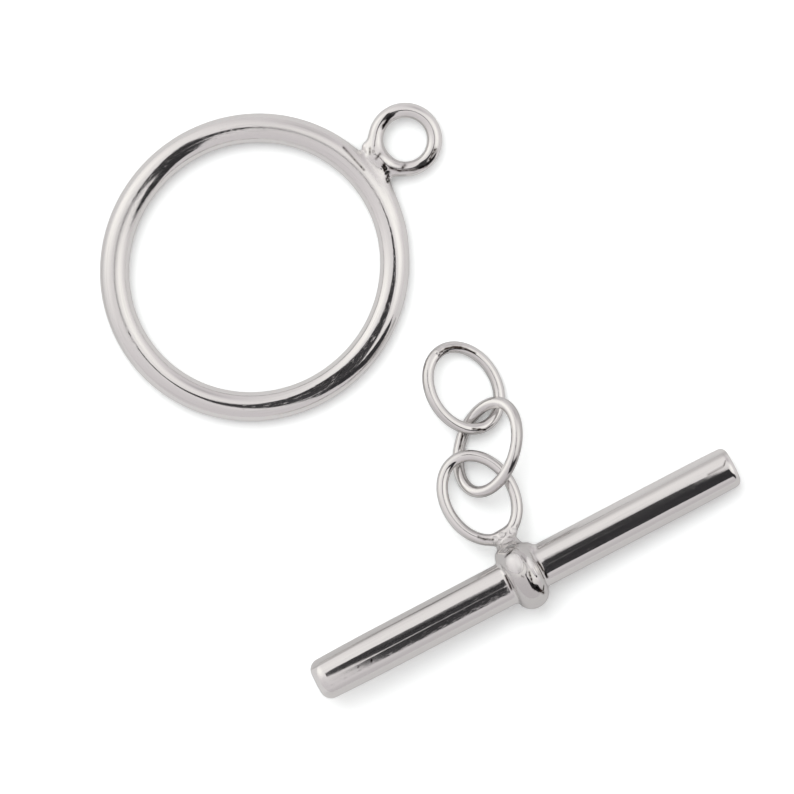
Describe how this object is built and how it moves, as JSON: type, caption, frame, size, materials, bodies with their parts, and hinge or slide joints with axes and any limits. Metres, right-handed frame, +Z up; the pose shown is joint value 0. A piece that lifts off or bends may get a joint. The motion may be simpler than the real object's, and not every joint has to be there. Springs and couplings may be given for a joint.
{
  "type": "toggle clasp",
  "caption": "Toggle clasp of polished silver wire, laid flat: a round ring with a soldered eye, and a straight bar with a domed collar and a short chain of oval links.",
  "frame": {"origin": "on the table, under the middle of the clasp's outline as seen from above", "axes": "+Z up from the table, +X to the right and +Y to the back as the clasp lies: the ring half is at the back left, the bar half at the front right"},
  "size_m": [0.0436, 0.0406, 0.0049],
  "materials": {
    "polished_silver": "polished sterling silver with fine handling scratches, a little duller on the solder"
  },
  "bodies": {
    "root": {"toggle_ring": "polished_silver", "toggle_bar": "polished_silver", "middle_link": "polished_silver", "end_link": "polished_silver"}
  },
  "joints": []
}
